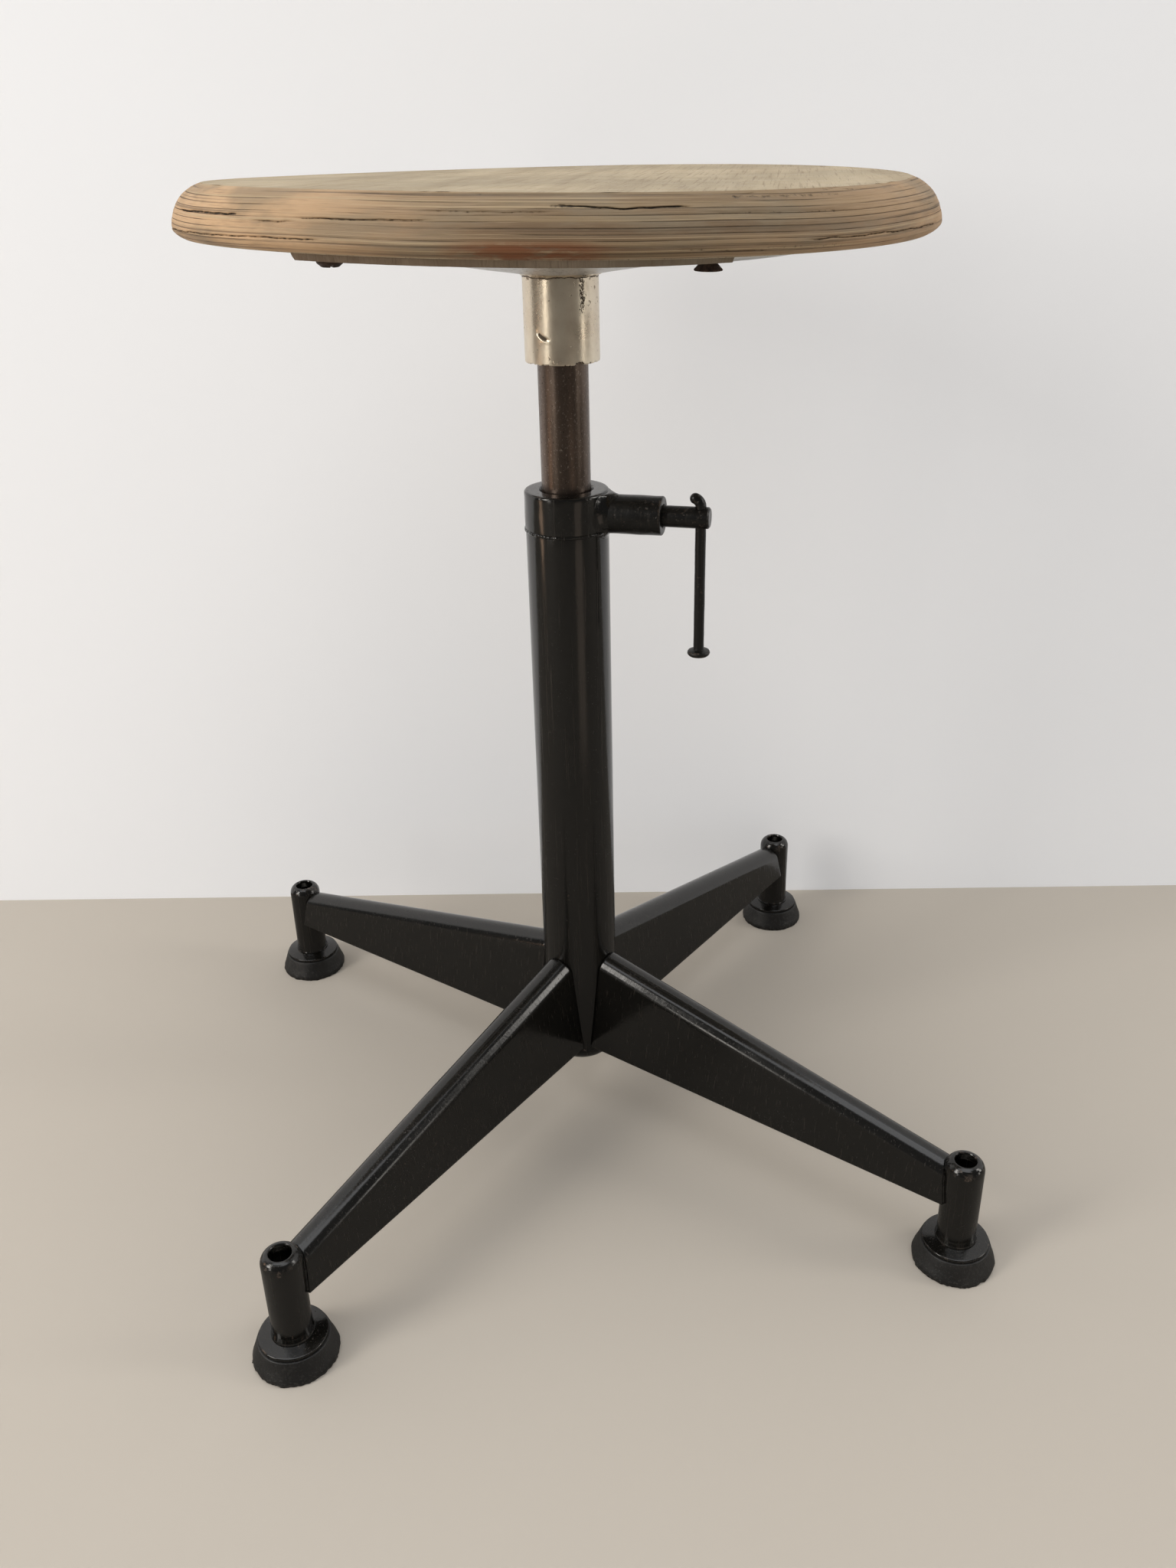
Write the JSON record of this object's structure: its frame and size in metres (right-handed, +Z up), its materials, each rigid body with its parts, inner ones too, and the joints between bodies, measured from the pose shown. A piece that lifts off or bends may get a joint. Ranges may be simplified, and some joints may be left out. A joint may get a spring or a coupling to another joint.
{
  "type": "machinist stool",
  "caption": "Round plywood seat on a post that slides and is clamped in a steel column, which stands on pressed channel legs with rubber feet.",
  "frame": {"origin": "on the floor, on the column's axis", "axes": "+Z up along the column; the legs lie at 45 degrees to +X and +Y, and -Y is the side that faces the viewer"},
  "size_m": [0.4082, 0.4082, 0.5505],
  "materials": {
    "black_paint": "gloss black paint over pitted steel",
    "blackened_steel": "dull black",
    "post_steel": "dark oxidised steel, worn smooth",
    "plain_steel": "turned steel",
    "plated_steel": "worn bright plating",
    "rusty_steel": "rusty",
    "brass": "turned",
    "foot_rubber": "matte",
    "plywood": "bare weathered plywood"
  },
  "bodies": {
    "column": {"column_tube": "black_paint", "column_plug": "black_paint", "clamp_collar": "black_paint", "collar_weld": "black_paint", "clamp_boss": "black_paint", "boss_weld": "black_paint", "leg_front_left": "black_paint", "foot_socket_front_left": "black_paint", "foot_washer_front_left": "black_paint", "rubber_foot_front_left": "foot_rubber", "foot_pin_front_left": "plain_steel", "leg_front_right": "black_paint", "foot_socket_front_right": "black_paint", "foot_washer_front_right": "black_paint", "rubber_foot_front_right": "foot_rubber", "foot_pin_front_right": "plain_steel", "leg_back_right": "black_paint", "foot_socket_back_right": "black_paint", "foot_washer_back_right": "black_paint", "rubber_foot_back_right": "foot_rubber", "foot_pin_back_right": "plain_steel", "leg_back_left": "black_paint", "foot_socket_back_left": "black_paint", "foot_washer_back_left": "black_paint", "rubber_foot_back_left": "foot_rubber", "foot_pin_back_left": "plain_steel"},
    "post": {"post": "post_steel", "guide_sleeve": "plain_steel", "guide_pin": "plain_steel", "pivot_washer": "plain_steel", "pivot_bolt": "plain_steel"},
    "seat": {"seat_board": "plywood", "bottom_ply": "plywood", "seat_plate": "plated_steel", "seat_tube": "plated_steel", "socket_weld": "plated_steel", "swivel_bush_lower": "brass", "swivel_bush_upper": "brass", "thrust_disc": "plain_steel", "seat_screws": "rusty_steel", "loose_screw": "blackened_steel"},
    "clamp_pad": {"pressure_pad": "brass"},
    "clamp_screw": {"clamp_screw": "blackened_steel"},
    "tommy_bar": {"tommy_bar": "blackened_steel"}
  },
  "joints": [
    {"name": "post_slide", "type": "slide", "parent": "column", "child": "post", "axis": [0, 0, 1], "range_m": [-0.045, 0.2065]},
    {"name": "seat_swivel", "type": "hinge", "parent": "post", "child": "seat", "pos_m": [0, 0, 0.504], "axis": [0, 0, 1], "continuous": true},
    {"name": "clamp_travel", "type": "slide", "parent": "column", "child": "clamp_pad", "axis": [0.9143, -0.4051, 0], "range_m": [0, 0.0015]},
    {"name": "clamp_turn", "type": "hinge", "parent": "clamp_pad", "child": "clamp_screw", "pos_m": [0, 0, 0.3887], "axis": [0.9143, -0.4051, 0], "range_deg": [0, 360]},
    {"name": "bar_slide", "type": "slide", "parent": "clamp_screw", "child": "tommy_bar", "axis": [0, 0, 1], "range_m": [0, 0.0668]}
  ],
  "couplings": [
    {"joint": "clamp_travel", "follows": "clamp_turn", "m_per_rad": 0.00023873}
  ]
}
